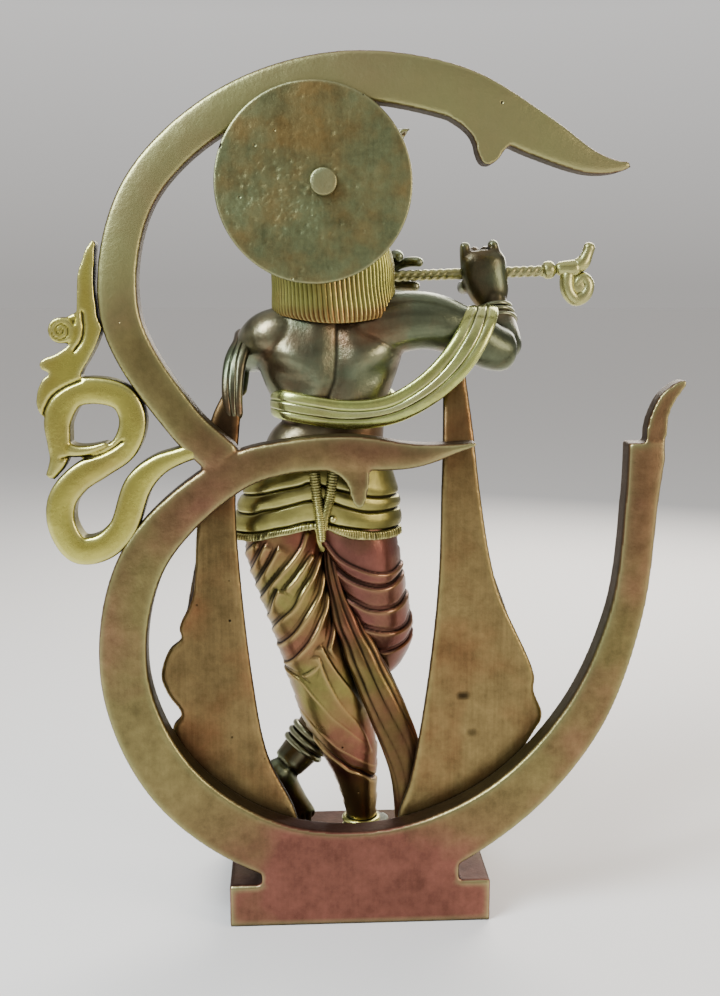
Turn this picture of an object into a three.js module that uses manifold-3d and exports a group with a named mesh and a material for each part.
// A cast brass statue: a flute player, legs crossed, who stands on a block in front of a large upright Om.
// Millimetres, +Z up. X runs across the statue, -Y is its front and +Y its back.
// The origin is the middle of the block's underside.
import * as THREE from "three";
import { mergeVertices } from "three/addons/utils/BufferGeometryUtils.js";
import Module from "manifold-3d";

const wasm = await Module();
wasm.setup();

// Driving sizes, in millimetres
const BASE_WIDTH = 90;
const BASE_DEPTH = 62;
const BASE_HEIGHT = 15;
const BASE_EDGE = 0.7; // chamfer along the edges of the block
const OM_HEIGHT = 278.4; // from the lowest point of the Om, inside the block, to its top
const OM_SEAT = 3.4; // how deep that lowest point is cast into the block
const OM_THICKNESS = 10;
const OM_CROWN = 1.4; // how far the back of the Om's bar rises from its edges to its middle
const FIGURE_HEIGHT = OM_HEIGHT * 0.934; // from the top of the block to the crown's tip, inside the Om's bowl
const SHAWL_END_THICKNESS = 4.2;
const HALO_RADIUS = 31;
const HALO_THICKNESS = 2.2;
const HALO_EDGE = 0.5; // chamfer of the halo's rim
const PIN_RADIUS = 4.3;
const PIN_EDGE = 0.5;
const PIN_PROUD = 2.8; // how far the pin stands out behind the halo
const PIN_SEAT = 4; // how deep the pin sits in the back of the crown
const FLUTE_RADIUS = 2;
const FLUTE_LENGTH = 81; // plain rod, from the lips to the ornament at its far end
const FIT = 0.3; // clearance wherever one piece rests on, in or against another

// Planes and scales that follow from them
const backFace = BASE_DEPTH / 2;
const omFront = backFace - OM_THICKNESS;
const omFoot = BASE_HEIGHT - OM_SEAT;
const omUnit = OM_HEIGHT / 96; // the Om is drawn in 96 equal parts of its height
const haloFront = backFace + FIT;
const haloBack = haloFront + HALO_THICKNESS;
const figureUnit = FIGURE_HEIGHT / 260; // the figure is drawn in 260 equal parts of its height
const figureFoot = BASE_HEIGHT + FIT;

// A point of the figure: across, forward from the Om's front face, and up from the block, in figure units
function place(x, forward, up) {
  return new THREE.Vector3(
    x * figureUnit,
    omFront - FIT - forward * figureUnit,
    figureFoot + up * figureUnit,
  );
}

// A closed solid from points and the triangles between them, turned so that its faces point out
function solidFrom(points, triangles) {
  const vertProperties = new Float32Array(points.flatMap((p) => [p.x, p.y, p.z]));
  const triVerts = new Uint32Array(triangles.flat());
  const made = new wasm.Manifold(new wasm.Mesh({ numProp: 3, vertProperties, triVerts }));
  return made.volume() > 0 ? made : solidFrom(points, triangles.map(([a, b, c]) => [a, c, b]));
}

// The solid of a three.js geometry, after a mapping has moved each of its points
function solidOf(geometry, mapping) {
  const bare = geometry.clone();
  bare.deleteAttribute("normal");
  bare.deleteAttribute("uv");
  const merged = mergeVertices(bare, 1e-4);
  const { position } = merged.attributes;
  const points = Array.from({ length: position.count }, (_, i) =>
    mapping(new THREE.Vector3().fromBufferAttribute(position, i)),
  );
  const index = Array.from(merged.index.array);
  const triangles = [];
  for (let i = 0; i < index.length; i += 3) triangles.push(index.slice(i, i + 3));
  return solidFrom(points, triangles);
}

// Skins a row of rings of equally many points, and closes both ends
function skin(rings) {
  const sides = rings[0].length;
  const points = rings.flat();
  const middle = (ring) =>
    ring.reduce((sum, p) => sum.add(p), new THREE.Vector3()).divideScalar(sides);
  const start = points.push(middle(rings[0])) - 1;
  const end = points.push(middle(rings.at(-1))) - 1;
  const top = (rings.length - 1) * sides;
  const triangles = [];
  for (let j = 0; j < sides; j++) {
    const next = (j + 1) % sides;
    for (let row = 0; row < top; row += sides) {
      triangles.push([row + j, row + next, row + sides + next]);
      triangles.push([row + j, row + sides + next, row + sides + j]);
    }
    triangles.push([start, next, j], [end, top + j, top + next]);
  }
  return solidFrom(points, triangles);
}

const joined = (solids) => solids.reduce((whole, part) => whole.add(part));

// A smooth line through rows of numbers, three columns to a curve: share 0 is the first row, 1 the last
function through(rows) {
  const curves = [];
  for (let i = 0; i < rows[0].length; i += 3) {
    const points = rows.map((row) => new THREE.Vector3(row[i], row[i + 1] ?? 0, row[i + 2] ?? 0));
    curves.push(new THREE.CatmullRomCurve3(points));
  }
  return {
    at: (share) => curves.flatMap((curve) => curve.getPoint(share).toArray()),
    tangent: (share) => curves[0].getTangent(share),
  };
}

const turns = (sides) => Array.from({ length: sides }, (_, j) => (j / sides) * 2 * Math.PI);
const rounded = (v, power) => Math.sign(v) * Math.abs(v) ** (2 / power);

const SIDEWAYS = new THREE.Vector3(1, 0, 0);
const FORWARD = new THREE.Vector3(0, 1, 0);
const UPWARD = new THREE.Vector3(0, 0, 1);

// A limb of the figure, its rings square to its line. Stations are [x, forward, up, half width, half depth]
// in figure units; the half depth is measured towards `facing`, and a power over 2 squares the section off
function limb(stations, { sides = 8, facing = FORWARD, power = 2 } = {}) {
  const line = through(stations.map(([x, f, z, a, b = a]) => [x, f, z, a, b]));
  const count = stations.length - 1;
  const rings = [];
  for (let k = 0; k <= count; k++) {
    const [x, f, z, a, b] = line.at(k / count);
    const tangent = line.tangent(k / count);
    const across = new THREE.Vector3().crossVectors(tangent, facing).normalize();
    const deep = new THREE.Vector3().crossVectors(across, tangent).normalize();
    rings.push(
      turns(sides).map((angle) => {
        const p = new THREE.Vector3(x, f, z);
        p.addScaledVector(across, a * rounded(Math.cos(angle), power));
        p.addScaledVector(deep, b * rounded(Math.sin(angle), power));
        return place(p.x, p.y, p.z);
      }),
    );
  }
  return skin(rings);
}

// A leg in wrapped cloth: crest and furrow take turns down the leg, and each ring tips by `slope`
// and hangs by `sag` away from its middle
function wrapped(stations, { sides = 11, pleats, depth, slope = 0, sag = 0 }) {
  const line = through(stations.map(([x, f, z, a, b]) => [x, f, z, a, b]));
  const rings = [];
  for (let k = 0; k <= 2 * pleats; k++) {
    const share = k / (2 * pleats);
    const [x, f, z, a, b] = line.at(share);
    const out = (k % 2 ? 0.5 : -0.5) * depth;
    const calm = Math.min(1, 4 * share, 4 * (1 - share));
    rings.push(
      turns(sides).map((angle) => {
        const dx = (a + out) * Math.cos(angle);
        return place(
          x + dx,
          f + (b + out) * Math.sin(angle),
          z + calm * (slope * dx + sag * (dx * dx - (a * a) / 2)),
        );
      }),
    );
  }
  return skin(rings);
}

// An upright egg, which may lean sideways by `lean` for each unit of height
function egg([x, f, z], [a, b, c], { sides = 12, rows = 6, lean = 0 } = {}) {
  const stations = [];
  for (let k = 0; k <= rows; k++) {
    const angle = Math.PI * (0.05 + (0.9 * k) / rows);
    const up = -Math.cos(angle) * c;
    stations.push([x + lean * up, f, z + up, a * Math.sin(angle), b * Math.sin(angle)]);
  }
  return limb(stations, { sides });
}

function smoothShape(outline) {
  const shape = new THREE.Shape();
  shape.moveTo(...outline[0]);
  shape.splineThru(outline.slice(1).map(([x, z]) => new THREE.Vector2(x, z)));
  return shape;
}

// A flat cut-out of the figure, drawn in x and up, from one forward distance to another
function plate(shape, near, far, curveSegments) {
  const bevel = 0.7;
  const geometry = new THREE.ExtrudeGeometry(shape, {
    depth: far - near - 2 * bevel,
    curveSegments,
    bevelThickness: bevel,
    bevelSize: bevel,
    bevelOffset: -bevel,
    bevelSegments: 1,
  });
  return solidOf(geometry, (p) => place(p.x, near + bevel + p.z, p.y));
}

// The Om's bar: flat in front and crowned behind, drawn as [x, z, half width] in the Om's own units
function bar(stations, steps, { ridges = 3 } = {}) {
  const line = through(stations);
  const path = through(stations.map(([x, z]) => [x, 0, z]));
  const count = (stations.length - 1) * steps;
  const rings = [];
  for (let k = 0; k <= count; k++) {
    const [x, z, half] = line.at(k / count).map((v) => v * omUnit);
    const tangent = path.tangent(k / count);
    const w = Math.max(half, 0.09 * omUnit);
    const fall = Math.min(OM_CROWN, w / 2);
    const section = [[-w, omFront], [w, omFront]];
    for (let r = 0; r <= ridges + 1; r++) {
      const n = 1 - (2 * r) / (ridges + 1);
      section.push([n * w, backFace - fall * n * n]);
    }
    rings.push(
      section.map(([n, y]) => new THREE.Vector3(x - tangent.z * n, y, omFoot + z + tangent.x * n)),
    );
  }
  return skin(rings);
}

// A small flat cusp or step on the edge of the bar, outlined in the Om's units
function spur(outline) {
  const inset = OM_CROWN * 0.6;
  const geometry = new THREE.ExtrudeGeometry(smoothShape(outline), {
    depth: OM_THICKNESS - 2 * inset,
    curveSegments: 2,
    bevelEnabled: false,
  });
  return solidOf(
    geometry,
    (p) => new THREE.Vector3(p.x * omUnit, omFront + inset + p.z, omFoot + p.y * omUnit),
  );
}

// The Om's two great strokes, each with the cusp of its inner edge
function upperStroke() {
  const stroke = bar(
    [
      [-29.4, 84.4, 0.1], [-25.9, 84.2, 1.06], [-19.3, 87.2, 2.11], [-10.2, 91.8, 2.72],
      [2.7, 93.3, 2.55], [15.1, 89.5, 2.15], [24.3, 80.5, 2.05], [26.3, 67.8, 2.2],
      [20.0, 56.6, 2.1], [15.4, 51.9, 2.2],
    ],
    3,
  );
  const cusp = spur([
    [-12.0, 88.6], [-12.7, 86.5], [-12.9, 85.1], [-13.7, 84.2], [-14.6, 84.4], [-15.5, 85.4],
    [-16.2, 86.6], [-17.6, 88.2],
  ]);
  return stroke.add(cusp);
}

function lowerStroke() {
  const stroke = bar(
    [
      [-13.1, 53.6, 0.15], [-6.2, 52.3, 1.36], [0.8, 52.6, 2.0], [7.8, 52.3, 1.9],
      [14.5, 50.3, 2.15], [24.6, 40.6, 2.63], [27.1, 26.7, 2.76],
      [21.8, 13.8, 3.1], [10.3, 5.5, 3.4], [-3.6, 4.0, 3.8], [-16.4, 9.9, 3.0],
      [-25.9, 20.4, 2.55], [-31.3, 33.5, 1.75], [-32.8, 47.6, 1.68], [-33.5, 54.6, 1.3],
      [-36.6, 60.7, 0.15],
    ],
    3,
  );
  const tongueCusp = spur([
    [3.2, 51.9], [2.0, 50.1], [1.2, 48.4], [0.6, 47.1], [-0.1, 46.6], [-0.6, 47.3], [-0.9, 49.9],
    [-1.9, 52.2],
  ]);
  const armStep = spur([
    [-33.4, 54.9], [-32.2, 54.2], [-30.8, 54.0], [-30.2, 53.6], [-30.6, 52.0], [-31.2, 49.0],
    [-33.0, 48.3],
  ]);
  return joined([stroke, tongueCusp, armStep]);
}

// The tail: a strap that turns twice, a leaf that climbs the upper stroke, and a small round curl
function tail() {
  const light = { ridges: 1 };
  const strap = bar(
    [
      [17.2, 53.0, 0.6], [20.4, 52.4, 0.89], [22.8, 51.3, 1.22], [24.9, 49.2, 1.6],
      [26.9, 44.1, 1.55], [29.2, 42.1, 1.55], [31.8, 41.9, 1.58], [33.5, 44.6, 1.58],
      [33.4, 47.5, 1.6], [31.7, 49.8, 1.55], [28.9, 51.6, 1.5], [26.3, 53.5, 1.5],
      [25.3, 56.5, 1.52], [26.3, 58.9, 1.5], [29.0, 59.8, 1.5], [31.9, 59.3, 1.52],
      [33.5, 56.6, 1.5], [33.4, 54.1, 1.22], [33.8, 52.1, 0.78], [35.3, 49.7, 0.12],
    ],
    2,
    light,
  );
  const tongue = bar([[33.4, 53.2, 0.95], [30.9, 53.3, 0.6], [28.1, 53.7, 0.1]], 1, light);
  const leaf = bar(
    [
      [28.9, 76.2, 0.1], [29.3, 74.0, 0.67], [29.5, 69.5, 1.25], [30.1, 65.2, 1.35],
      [32.8, 61.6, 1.16], [34.3, 59.7, 1.0], [35.3, 57.6, 0.2],
    ],
    1,
    light,
  );
  const horn = bar([[31.4, 64.4, 0.9], [33.4, 63.2, 0.65], [35.2, 62.7, 0.2]], 1, light);
  const neck = bar([[30.0, 65.4, 0.7], [31.2, 65.6, 0.7], [32.3, 66.1, 0.7]], 1, light);
  const curlRadius = 1.45;
  const curl = spur(
    turns(12).map((a) => [32.7 + curlRadius * Math.cos(a), 66.4 + curlRadius * Math.sin(a)]),
  );
  return joined([strap, tongue, leaf, horn, neck, curl]);
}

// The block that the whole statue stands on
function block() {
  const halfWidth = BASE_WIDTH / 2 - BASE_EDGE;
  const halfDepth = BASE_DEPTH / 2 - BASE_EDGE;
  const shape = new THREE.Shape([
    new THREE.Vector2(-halfWidth, -halfDepth),
    new THREE.Vector2(halfWidth, -halfDepth),
    new THREE.Vector2(halfWidth, halfDepth),
    new THREE.Vector2(-halfWidth, halfDepth),
  ]);
  const geometry = new THREE.ExtrudeGeometry(shape, {
    depth: BASE_HEIGHT - 2 * BASE_EDGE,
    bevelThickness: BASE_EDGE,
    bevelSize: BASE_EDGE,
    bevelSegments: 1,
  });
  return solidOf(geometry, (p) => p.setZ(p.z + BASE_EDGE));
}

// The web that fills the angle between the lower stroke and the block, up to a notch at each side
const WEB_HALF = 34;

function web() {
  const top = BASE_HEIGHT + 4.8;
  const low = BASE_HEIGHT - 1;
  const outline = [[-WEB_HALF, low], [WEB_HALF, low], [WEB_HALF, top], [0, top], [-WEB_HALF, top + 1.6]];
  const shape = new THREE.Shape(outline.map(([x, z]) => new THREE.Vector2(x, z)));
  const inset = 0.4;
  const depth = OM_THICKNESS - 3 * inset;
  const geometry = new THREE.ExtrudeGeometry(shape, { depth, bevelEnabled: false });
  return solidOf(geometry, (p) => new THREE.Vector3(p.x, omFront + 2 * inset + p.z, p.y));
}

const omFrame = joined([block(), web(), lowerStroke(), upperStroke(), tail()]);

// Waist, chest and neck as one mass
function trunk() {
  return limb(
    [
      [11, 15.6, 140, 20, 11], [10.5, 15.2, 145, 21.3, 13], [8, 14.6, 155, 17.2, 12],
      [8.3, 14.8, 163, 19, 12.4], [9, 15, 172, 22.6, 13], [9.4, 15, 181, 25, 12.6],
      [9.4, 14.6, 187, 24, 11.4], [8.5, 14.2, 193, 17, 9.4], [7.2, 14.5, 198, 9.6, 8.2],
      [7.2, 15, 206, 8.2, 8.2],
    ],
    { sides: 14, power: 2.3 },
  );
}

// The hips, wrapped in three rolled bands one above the other
function waistband() {
  const roll = [
    [13.6, 16.5, 108, 20, 11], [14, 17, 116, 29.2, 15.3], [14, 17, 119.8, 29.4, 15.6],
    [13.9, 17, 120.6, 28.2, 15], [13.6, 17, 122, 29, 15.5], [13.2, 16.9, 127, 28.2, 15.3],
    [13.2, 16.9, 127.8, 27, 14.7], [13, 16.8, 129.2, 27.6, 15.1], [12.5, 16.3, 134.6, 26.2, 14.7],
    [12.5, 16.3, 135.4, 25, 14.2], [12.2, 16.1, 137, 25.4, 14.4], [11.2, 15.6, 142.4, 22.6, 13],
  ];
  return limb(roll, { sides: 14, power: 2.2 });
}

// A plaited tassel that hangs behind, and the sash that falls over the crossed thigh in front
function tassels() {
  const behind = limb(
    [
      [11.6, 1.9, 144, 3.9, 1.3], [11.6, 1.7, 134, 3.9, 1.4], [11.7, 1.9, 124, 2.7, 1.4],
      [11.9, 2.6, 114, 1.5, 1.1],
    ],
  );
  const sash = limb(
    [
      [12, 29, 143, 5, 2], [10, 31.8, 128, 5.4, 2], [6, 32.6, 112, 6, 2], [1.5, 34.2, 97, 6.6, 2],
      [-1.5, 36, 86, 5.4, 1.8],
    ],
  );
  return behind.add(sash);
}

// The standing leg, behind the other, in its pleated cloth, with the foot turned out
function standingLeg() {
  const cloth = wrapped(
    [
      [25.4, 16.5, 121, 13.6, 12.8], [24.6, 16.5, 110, 13.6, 12.8], [21.5, 16.5, 97, 12.6, 12.4],
      [18.2, 16.8, 86, 12, 12], [14.4, 17, 74, 12.2, 11.4], [11, 17.2, 63, 12.4, 11],
      [7.4, 17.4, 51, 12.2, 10.2], [3.2, 17.6, 39, 10.6, 9], [0.6, 17.8, 29, 7.8, 7.4],
      [-0.9, 18, 20, 6, 6],
    ],
    { pleats: 11, slope: -0.68, depth: 0.9 },
  );
  const ankle = limb([[-0.6, 18, 24, 6.4], [-1.4, 18, 15, 5.3], [-1.8, 18, 6, 5]]);
  const rings = limb([
    [-1.7, 18, 9, 5.6], [-1.7, 18, 10.2, 6.7], [-1.7, 18, 12.6, 6.6], [-1.7, 18, 13.6, 5.6],
  ]);
  const foot = limb(
    [
      [-0.9, 11, 4, 3.2, 3], [-1.6, 14, 5, 5, 4.9], [-3.1, 22, 5.2, 5.4, 5.1],
      [-5.4, 30, 3.9, 6.2, 3.8], [-7.2, 37, 2.8, 6.2, 2.7], [-8.2, 41, 2.2, 4.6, 1.9],
    ],
    { facing: UPWARD },
  );
  return joined([cloth, ankle, rings, foot]);
}

// The crossed leg: its thigh hangs beside the other, the shin passes in front, and it rests on its toes
function crossedLeg() {
  const thigh = wrapped(
    [
      [1.4, 17, 121, 14.2, 13.2], [-0.8, 17.5, 112, 14.2, 13.4], [-3, 19, 103, 13.4, 13.6],
      [-5, 21, 93, 13.4, 13.6], [-6.6, 23.5, 82, 13.6, 13.2], [-6.6, 26, 74, 12.6, 12],
      [-5, 28, 66, 10.4, 10.4], [-2.6, 29, 61, 7, 7],
    ],
    { pleats: 6, slope: 0.34, sag: 0.016, depth: 1 },
  );
  const shin = limb(
    [
      [-6, 25, 76, 10.5, 9.5], [0, 29, 62, 9.6, 9], [8, 31.5, 49, 8.6, 8], [15, 31.6, 39, 7.6, 7.4],
      [20.4, 30.6, 32.6, 6.8, 6.8], [25, 29, 28, 6, 6],
    ],
  );
  const rings = limb([
    [15, 31.6, 39, 7.2], [16.2, 31.5, 37.6, 8.2], [20.6, 30.6, 32.4, 7.9], [21.8, 30.2, 31, 6.6],
  ]);
  const foot = limb(
    [
      [29, 26, 31, 3.4, 3.4], [28.4, 26.8, 27, 5.4, 5.2], [26.4, 28.5, 20, 5.6, 4.8],
      [23.2, 30.5, 12, 5.8, 4.3], [19.8, 31.8, 5.6, 5.8, 3.8], [17.4, 32.4, 2.3, 4.6, 2.1],
    ],
  );
  return joined([thigh, shin, rings, foot]);
}

// Loose cloth between the legs, and the end that joins the right end of the shawl
function clothBetweenLegs() {
  const inner = limb(
    [
      [9, 14, 112, 5, 7], [5.6, 15, 88, 7.4, 9], [1.5, 14, 64, 7, 6.4], [-1, 13, 50, 5.4, 4.4],
    ],
    { sides: 6 },
  );
  const flap = limb(
    [
      [2, 9, 82, 5, 4], [-3.6, 8, 68, 6.4, 3.6], [-8, 7, 55, 7, 3.2], [-12, 6, 43, 8, 2.8],
      [-15, 5, 30, 7, 2.4], [-16.6, 4.4, 14, 5.4, 2.2], [-16.8, 4.2, 0.6, 5, 2.2],
    ],
  );
  return inner.add(flap);
}

// The two hanging ends of the shawl: flat behind, with long folds in front
const END_FOLDS = 3;

function shawlEnd(outline, foldRows) {
  const shape = new THREE.Shape();
  shape.moveTo(...outline[0]);
  for (const stretch of outline.slice(1))
    if (typeof stretch[0] === "number") shape.lineTo(...stretch);
    else shape.splineThru(stretch.map(([x, z]) => new THREE.Vector2(x, z)));
  const face = SHAWL_END_THICKNESS / figureUnit;
  const folds = Array.from({ length: END_FOLDS }, (_, k) => {
    const share = (k + 0.5) / END_FOLDS;
    return limb(
      foldRows.map(([z, from, to, height]) => [
        from + (to - from) * share,
        face - 0.3,
        z,
        (Math.abs(to - from) / END_FOLDS) * 0.38,
        height,
      ]),
      { sides: 5 },
    );
  });
  return joined([plate(shape, 0, face, 1), ...folds]);
}

function shawlEnds() {
  const left = shawlEnd(
    [
      [44.2, 176],
      [
        [48.7, 161.9], [52.7, 142.5], [54.6, 120], [56.4, 99], [61, 88.3], [60.4, 84.7],
        [64.6, 80.6], [67.5, 71.7], [65.4, 65], [61, 57.7], [64, 53.1], [60.4, 42.8],
        [48, 24], [34, 8],
      ],
      [29, 0.6],
      [23.5, 0.6],
      [
        [21.4, 18], [31.7, 42.2], [36.5, 69.4], [40.6, 111.7], [41.3, 132.3], [38, 175.4],
      ],
    ],
    [
      [163, 40.5, 47, 0.8], [120, 42, 54, 1.6], [78, 38, 61, 2.2], [42, 32, 58, 2.3],
      [16, 24, 41, 1.5],
    ],
  );
  const right = shawlEnd(
    [
      [-30, 174],
      [-36.2, 173.4],
      [
        [-38.4, 155.4], [-40.3, 138.4], [-44.9, 110.6], [-48.6, 97.6], [-60.7, 70.2],
        [-60.8, 64], [-63.9, 55], [-60.8, 48.7], [-48, 28], [-34, 8],
      ],
      [-27, 0.6],
      [-15.5, 0.6],
      [
        [-13.8, 18.2], [-18, 31.9], [-23, 61.1], [-27.1, 100.3], [-28.1, 141.9], [-28.8, 170],
      ],
    ],
    [
      [162, -29.5, -37, 0.8], [118, -28.4, -43, 1.6], [72, -25, -57, 2.3], [38, -20.6, -52, 2.3],
      [12, -16.6, -36, 1.5],
    ],
  );
  return left.add(right);
}

// The shawl's band: across the small of the back, over the right arm, and over the left forearm
function shawlBand() {
  const back = limb(
    [
      [24.6, 22, 168, 4.2, 1.9], [26.8, 14, 167.6, 4.6, 1.8], [24.4, 5.4, 165.6, 4.8, 1.7],
      [16, 2.2, 162, 4.9, 1.6], [6, 1.8, 160.6, 4.9, 1.6], [-4, 2, 160.8, 4.8, 1.6],
      [-13, 2.8, 163, 4.8, 1.7], [-24, 4, 169.4, 5.2, 1.8], [-33.5, 5, 179, 5.8, 1.9],
      [-39, 5.4, 188, 5.8, 1.9],
    ],
  );
  const overArm = limb(
    [
      [-38, 4.4, 185, 1.9, 5.8], [-40.6, 5.6, 193.4, 2, 5.8], [-41.6, 12, 197, 2, 6],
      [-42, 19.4, 194.4, 2, 6], [-41.5, 24, 187, 2, 5.8], [-39, 23.4, 179, 2, 5.4],
      [-35.4, 17, 174.6, 2, 5], [-33.5, 8, 172, 2.2, 4.4], [-33, 2.6, 167, 2, 3.6],
    ],
    { facing: SIDEWAYS },
  );
  const front = limb(
    [
      [24.4, 21, 168, 4.2, 1.8], [19, 27.2, 165.6, 4.6, 1.8], [9, 28.6, 163, 4.6, 1.8],
      [-1, 27.6, 164, 4.6, 1.8], [-8, 23, 165.6, 4.2, 1.8], [-10.4, 17, 166, 3.6, 1.6],
    ],
    { sides: 6 },
  );
  const overForearm = limb(
    [
      [41.6, 2.8, 168, 2, 3.4], [41, 8, 174.6, 2, 3.6], [38.6, 14.4, 183, 2, 3.4],
      [38, 22, 187.4, 2, 3.2], [38.6, 30, 185, 2, 3.2], [40, 34.4, 178, 2, 3.4],
      [40.8, 33.4, 170, 1.8, 3.2], [41, 31, 164, 1, 2.6],
    ],
    { sides: 6, facing: SIDEWAYS },
  );
  return joined([back, overArm, front, overForearm]);
}

// The right arm reaches out to the flute; the left one comes up in front of the chest
function arms() {
  const rightUpper = limb(
    [
      [2, 14, 187, 9, 9], [-10, 13.6, 190, 10.4, 9.6], [-24, 13.4, 191, 9.6, 9],
      [-36, 14.6, 187.2, 8.6, 8.4], [-46, 17.2, 182.2, 8, 8], [-52, 19.4, 180.4, 6.6, 6.8],
      [-54.6, 20.4, 180.2, 3.4, 4],
    ],
  );
  const rightFore = limb(
    [
      [-50, 18.6, 178.4, 6, 6.4], [-50.6, 22, 182.4, 7.2, 7.2], [-50.8, 27, 188.6, 6.2, 6],
      [-50, 31, 194, 5, 4.8], [-49.4, 32.6, 199, 4.6, 4.2],
    ],
    { facing: SIDEWAYS },
  );
  const leftUpper = limb(
    [
      [20, 14, 188, 8.8, 8.8], [29.6, 14.6, 185.6, 9, 9], [34, 19.6, 182, 8, 8],
      [36, 26, 180, 7, 7], [36.6, 31, 179.4, 6, 6], [36, 34, 179.6, 3.6, 3.6],
    ],
    { facing: UPWARD },
  );
  const leftFore = limb(
    [
      [38, 28.6, 179.2, 4.6, 4.8], [33.6, 31.4, 180.4, 6, 6], [27, 34.6, 182.8, 5.8, 5.8],
      [18, 37.8, 187.4, 4.9, 4.9], [9, 39.9, 193, 4, 3.8], [4.6, 40.4, 196.6, 3.8, 3.4],
    ],
  );
  return joined([rightUpper, rightFore, leftUpper, leftFore]);
}

// The right hand stands up behind the flute with two fingers over it, and the left lies along it
function hands() {
  const finger = (...stations) => limb(stations, { sides: 5 });
  const rightPalm = limb(
    [
      [-49.4, 32.4, 195, 4.6, 4], [-48, 33, 200, 7, 4.6], [-46.2, 33.6, 207, 8, 5],
      [-45.8, 34, 212, 7.6, 4.4], [-45.6, 34.4, 214.8, 6, 3],
    ],
  );
  const rightFingers = [
    finger([-40.4, 34.4, 209, 2.6], [-39.4, 34.4, 214, 2.3], [-39, 35, 218, 1.2]),
    finger([-50.6, 34, 209, 2.6], [-49.4, 34, 215, 2.4], [-48.8, 34.6, 218.8, 1.2]),
    finger([-43.2, 35, 211, 2.1], [-43, 37.8, 214.6, 2], [-43, 41.4, 213, 1.9], [-43, 42, 209, 1.3]),
    finger([-47, 35, 211, 2.1], [-47, 37.8, 214.8, 2], [-47, 41.4, 213.2, 1.9], [-47, 42, 209, 1.3]),
    finger([-40.4, 34, 203, 2.6], [-39.4, 38.4, 202, 2.3], [-39.6, 42, 203.4, 1.4]),
  ];
  const leftPalm = limb(
    [
      [5.6, 40.4, 195.6, 3.8, 3.4], [0, 41.4, 199.6, 5.6, 3.4], [-7, 41.6, 203.4, 6, 3.4],
      [-12.4, 41, 206, 4.6, 3],
    ],
  );
  const leftFingers = [
    finger([-9, 41.4, 208, 2.1], [-12.6, 40, 212, 2], [-15.4, 36.4, 213.4, 1.9], [-16.4, 34, 212, 1.2]),
    finger([-12, 41, 207.4, 2], [-17, 40, 210.4, 1.9], [-22, 37.6, 211.2, 1.8], [-24.6, 36, 210.6, 1.1]),
    finger([-10, 41.6, 204.4, 2.2], [-16, 41.4, 203, 2.1], [-21, 38.4, 202.6, 2], [-23.4, 36.6, 202.4, 1.2]),
  ];
  const bangle = limb(
    [
      [-49.9, 31, 191.6, 4.8], [-49.8, 31.4, 192.6, 6, 5.6], [-49.4, 32.4, 196, 6, 5.6],
      [-49.3, 32.6, 197, 4.6],
    ],
  );
  return joined([rightPalm, ...rightFingers, leftPalm, ...leftFingers, bangle]);
}

// The head leans a little sideways, and its face is plain and calm
const headMiddle = [9.2, 16.6, 219.6];
const headLean = 0.11; // sideways shift for each unit of height

function head() {
  const skull = egg(headMiddle, [12.4, 14.4, 18.6], { sides: 12, rows: 6, lean: headLean });
  const nose = limb(
    [[8.8, 30, 221.5, 1.2, 1], [8.5, 32, 216, 1.9, 1.7], [8.4, 31, 213.6, 1.7, 1.2]],
    { sides: 6 },
  );
  const chin = egg([7.9, 26.6, 204.8], [4.6, 4.2, 3.6], { sides: 6, rows: 3 });
  return joined([skull, nose, chin]);
}

// Hair cut to a level at the nape, in upright locks, a little longer in the middle of the back
const LOCKS = 18;

function hair() {
  const rows = [
    [7.4, 12.6, 190.6, 19.4, 11.6], [7.4, 13.2, 191.6, 20.8, 12.6], [8.4, 13.4, 213, 20, 12.9],
    [10, 13.6, 226, 12, 10],
  ];
  const rings = rows.map(([x, f, z, a, b], row) =>
    turns(LOCKS * 2).map((angle, j) => {
      const lock = j % 2 ? -0.5 : 0.3;
      const rise = row < 2 ? 5 * Math.cos(angle) ** 2 : 0;
      return place(x + (a + lock) * Math.cos(angle), f + (b + lock) * Math.sin(angle), z + rise);
    }),
  );
  return skin(rings);
}

// The crown: a rim, two tiers and a bud, and a pointed plume that leans to one side
function crown() {
  const tiers = [
    [13.4, 227], [15.2, 229], [15, 231.4], [13.4, 232.4], [14.2, 238], [11.4, 242], [11.2, 246],
    [6.4, 250], [6.2, 254], [1, 260],
  ];
  const [middleX, middleForward, middleUp] = headMiddle;
  const rings = tiers.map(([r, z]) =>
    turns(12).map((angle) => {
      const x = middleX + headLean * (z - middleUp);
      return place(x + r * Math.cos(angle), middleForward + r * Math.sin(angle), z);
    }),
  );
  const plume = smoothShape([
    [8, 232], [1, 238], [-5, 244], [-10, 248.6], [-14.5, 249.6], [-18.2, 254.8], [-12, 255],
    [-4, 254.6], [4, 250], [10, 242],
  ]);
  return skin(rings).add(plate(plume, 22, 25.6, 1));
}

// Necklaces lie on the chest, and an earring hangs at each side of the jaw
function ornaments() {
  const necklace = (drop, wide, thick) =>
    limb(
      [
        [7.2 + wide, 18, 197, thick], [7.4 + wide * 0.8, 23.6, 191 - drop * 0.3, thick],
        [7.6, 27.6, 186 - drop, thick], [7.6 - wide * 0.8, 23.6, 191 - drop * 0.3, thick],
        [7.4 - wide, 18, 197, thick],
      ],
      { sides: 5 },
    );
  const earring = (x) => egg([x, 17.6, 207], [2.6, 2.6, 4], { sides: 6, rows: 4 });
  return joined([necklace(0, 8, 1.6), necklace(8, 11, 1.4), earring(21.4), earring(-5.6)]);
}

// The flute: a rod through both hands, with a scrolled ornament at its far end
const FLUTE_SLOPE = 0.034; // rise of the rod for each unit it runs outwards
const lips = place(13, 36, 205.2);
const alongFlute = (run) => new THREE.Vector3(lips.x - run, lips.y, lips.z + run * FLUTE_SLOPE);

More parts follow.
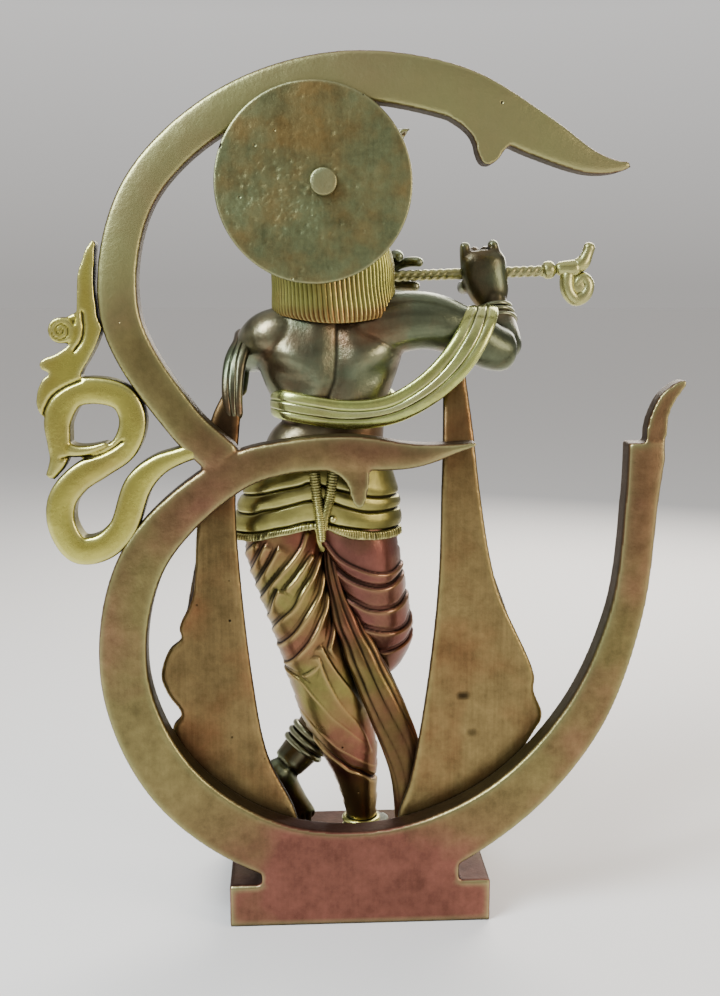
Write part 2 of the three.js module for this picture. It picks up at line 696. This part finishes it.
function rod(from, to, radius) {
  const section = new THREE.Shape();
  section.absarc(0, 0, radius, 0, 2 * Math.PI);
  const geometry = new THREE.ExtrudeGeometry(section, {
    extrudePath: new THREE.LineCurve3(alongFlute(from), alongFlute(to)),
    steps: 1,
    curveSegments: 5,
    bevelEnabled: false,
  });
  return solidOf(geometry, (p) => p);
}

// Stations are [outwards, up, radius] from the end of the rod, in figure units
function scroll(stations) {
  const line = through(stations.map(([out, up, r]) => [out, 0, up, r]));
  const end = alongFlute(FLUTE_LENGTH);
  const count = stations.length - 1;
  const rings = [];
  for (let k = 0; k <= count; k++) {
    const [out, , up, r] = line.at(k / count).map((v) => v * figureUnit);
    const tangent = line.tangent(k / count);
    rings.push(
      turns(6).map((angle) => {
        const n = r * Math.cos(angle);
        return new THREE.Vector3(
          end.x - out + tangent.z * n,
          end.y + r * 0.8 * Math.sin(angle),
          end.z + up + tangent.x * n,
        );
      }),
    );
  }
  return skin(rings);
}

function fluteOrnament() {
  return joined([
    scroll([[-1.5, 0, 1.8], [1.2, 0.4, 2.9], [4, 1, 2.6], [8, 0.8, 3.2], [12, 1, 3]]),
    scroll([[11, 1, 2.8], [14, 3, 2.4], [15.6, 6.4, 1.4], [16.2, 8.6, 0.4]]),
    scroll([[9, 1, 2.8], [8.8, -3, 3.2], [10, -7, 3.6], [12, -10.4, 2.8], [12.4, -12, 1.2]]),
    scroll([[12, 1, 2.8], [14.4, -2, 2.8], [14.8, -6.6, 2.6], [13.6, -10.6, 1.6]]),
  ]);
}

const flute = rod(0, FLUTE_LENGTH, FLUTE_RADIUS).add(fluteOrnament());
const fluteChannel = rod(-FIT, FLUTE_LENGTH, FLUTE_RADIUS + FIT);

// The halo: a plain disc behind the head, on a pin whose end is left proud
function turned(profile, spot, sides) {
  const points = profile.map(([r, y]) => new THREE.Vector2(r, y));
  return solidOf(
    new THREE.LatheGeometry(points, sides),
    (p) => new THREE.Vector3(spot.x + p.x, p.y, spot.z + p.z),
  );
}

const pinSpot = place(11.9, 0.6, 234.6); // on the back of the crown
const haloMiddle = place(14.9, 0, 234.3);

function pinRod(radius, from, to) {
  const profile = [[0, from], [radius, from], [radius, to - PIN_EDGE], [radius - PIN_EDGE, to], [0, to]];
  return turned(profile, pinSpot, 16);
}

const pin = pinRod(PIN_RADIUS, pinSpot.y - PIN_SEAT, haloBack + PIN_PROUD);
const pinHole = pinRod(PIN_RADIUS + FIT, pinSpot.y - PIN_SEAT - FIT, haloBack + 2 * PIN_PROUD);

function halo() {
  const profile = [
    [0, haloFront], [HALO_RADIUS - HALO_EDGE, haloFront], [HALO_RADIUS, haloFront + HALO_EDGE],
    [HALO_RADIUS, haloBack - HALO_EDGE], [HALO_RADIUS - HALO_EDGE, haloBack], [0, haloBack],
  ];
  return turned(profile, haloMiddle, 36).subtract(pinHole);
}

const figureParts = joined([
  trunk(), waistband(), tassels(), standingLeg(), crossedLeg(), clothBetweenLegs(), shawlEnds(),
  shawlBand(), arms(), hands(), head(), hair(), crown(), ornaments(),
]);
const figure = figureParts
  .subtract(fluteChannel)
  .subtract(pinHole)
  .trimByPlane([0, 0, 1], figureFoot);

// Each solid becomes a mesh with its own metal finish
function piece(name, solid, color, roughness) {
  const { vertProperties, triVerts } = solid.getMesh();
  const geometry = new THREE.BufferGeometry();
  geometry.setAttribute("position", new THREE.BufferAttribute(new Float32Array(vertProperties), 3));
  geometry.setIndex(new THREE.BufferAttribute(new Uint32Array(triVerts), 1));
  geometry.computeVertexNormals();
  const material = new THREE.MeshStandardMaterial({ color, roughness, metalness: 1 });
  const mesh = new THREE.Mesh(geometry, material);
  mesh.name = name;
  return mesh;
}

const statue = new THREE.Group();
statue.add(
  piece("om_frame", omFrame, "#8a7040", 0.42),
  piece("krishna_figure", figure, "#6b5636", 0.38),
  piece("halo_disc", halo(), "#6f6a42", 0.5),
  piece("halo_pin", pin, "#757447", 0.45),
  piece("flute", flute, "#b7a55a", 0.35),
);

export default statue;
